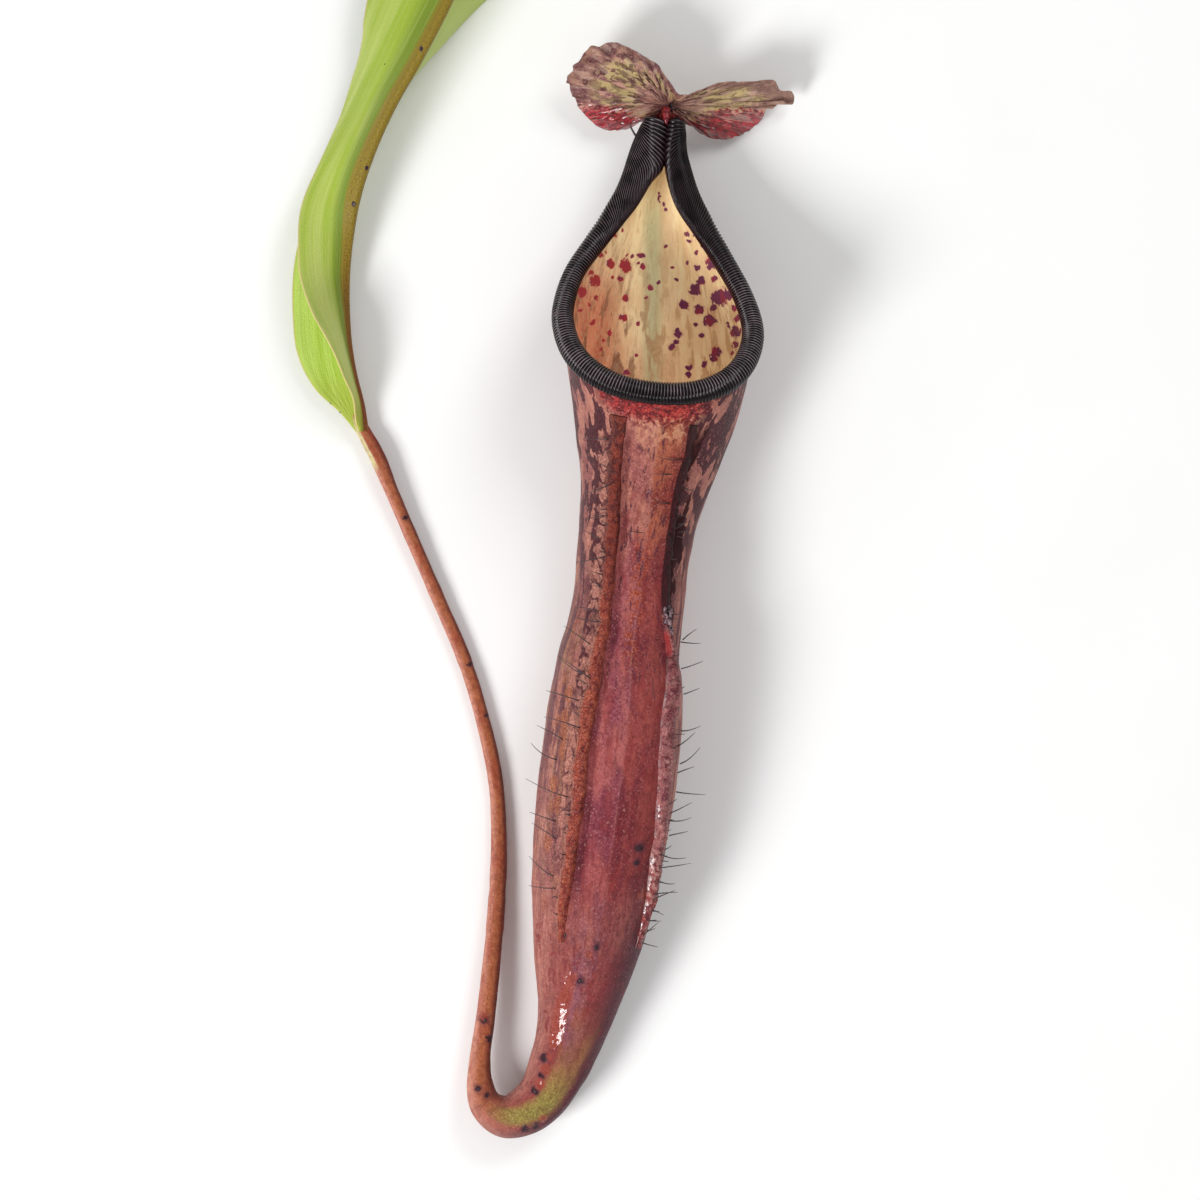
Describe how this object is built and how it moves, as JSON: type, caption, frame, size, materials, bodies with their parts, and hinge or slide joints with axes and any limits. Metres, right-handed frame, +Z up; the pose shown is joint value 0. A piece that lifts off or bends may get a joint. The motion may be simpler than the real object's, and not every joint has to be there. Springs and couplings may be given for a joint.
{
  "type": "pitcher plant leaf with its pitcher",
  "caption": "Picked pitcher-plant leaf lying on its back: folded green blade, thin tendril, and a slender hollow pitcher with a ribbed dark lip, fringed wings and a two-lobed lid.",
  "frame": {"origin": "centre of the bounding box in plan, on the surface that the leaf lies on", "axes": "+Z up from the surface, towards the pitcher's open front; +Y along the leaf, from the pitcher's foot to the blade's cut base; +X to the right, from the blade's tip towards the pitcher"},
  "size_m": [0.1016, 0.3072, 0.0355],
  "materials": {
    "blade": "satin",
    "tendril": "satin",
    "pitcher": "satin",
    "lip": "gloss",
    "wing": "satin",
    "lid": "satin"
  },
  "bodies": {
    "root": {"leaf_blade": "blade", "tendril": "tendril", "pitcher_cup": "pitcher", "peristome": "lip", "wing_left": "wing", "wing_right": "wing", "lid": "lid", "spur": "lid"}
  },
  "joints": []
}
